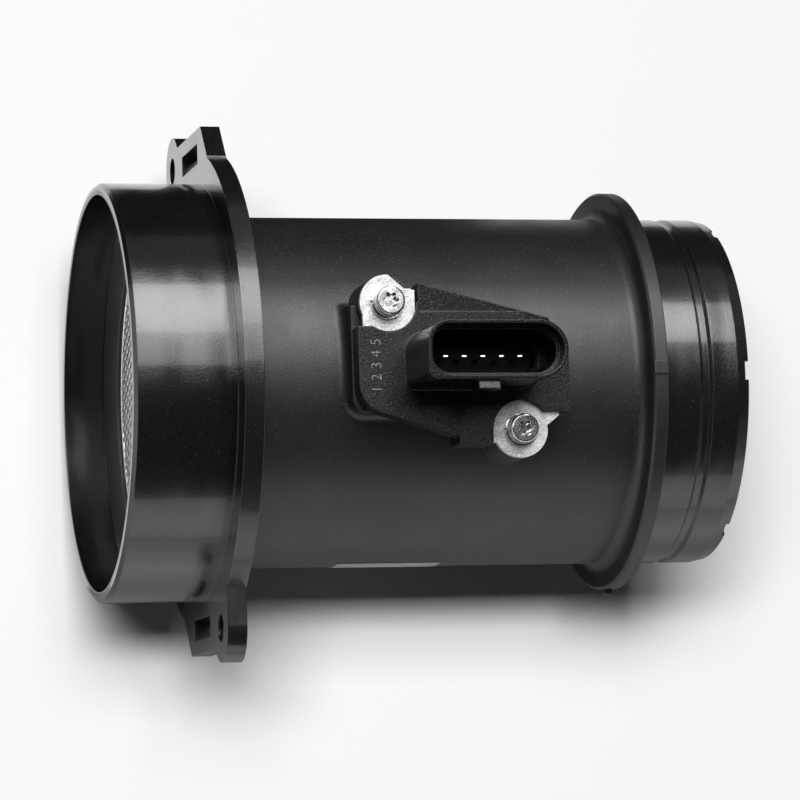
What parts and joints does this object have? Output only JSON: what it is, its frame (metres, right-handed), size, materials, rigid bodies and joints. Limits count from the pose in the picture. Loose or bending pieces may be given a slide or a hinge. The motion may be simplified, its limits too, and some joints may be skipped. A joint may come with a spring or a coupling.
{
  "type": "mass airflow sensor",
  "caption": "Moulded flow tube with a meshed inlet socket, two-ear bolting flange, stop collar and hose spigot, carrying a screwed-on plug-in sensor module with a keyed connector.",
  "frame": {"origin": "on the tube axis, at the seating face of the bolting flange", "axes": "+X along the tube from the inlet socket to the outlet spigot; +Z out of the side that the sensor module plugs into; +Y across the tube"},
  "size_m": [0.1347, 0.1186, 0.1181],
  "materials": {
    "tube_plastic": "glass-filled black moulding, satin",
    "screen_metal": "bright expanded mesh",
    "ring_plastic": "satin black",
    "module_plastic": "fine-grained black moulding",
    "carrier_steel": "zinc-plated stamping",
    "seal_rubber": "smooth rubber",
    "terminal_tin": "tin-plated blade",
    "board_laminate": "coated laminate",
    "probe_plastic": "satin black",
    "chip_ceramic": "fired ceramic",
    "bead_resin": "resin-dipped bead",
    "screw_zinc": "zinc-plated steel"
  },
  "bodies": {
    "root": {"flow_tube": "tube_plastic", "flow_screen": "screen_metal", "screen_ring": "ring_plastic", "module_body": "module_plastic", "carrier_plate": "carrier_steel", "o_ring": "seal_rubber", "terminal_1": "terminal_tin", "terminal_2": "terminal_tin", "terminal_3": "terminal_tin", "terminal_4": "terminal_tin", "terminal_5": "terminal_tin", "circuit_board": "board_laminate", "bypass_duct": "probe_plastic", "bypass_cover": "probe_plastic", "flow_chip": "chip_ceramic", "air_temp_sensor": "bead_resin", "lock_washer_upper": "screw_zinc", "lock_washer_lower": "screw_zinc", "screw_upper": "screw_zinc", "screw_lower": "screw_zinc"}
  },
  "joints": []
}
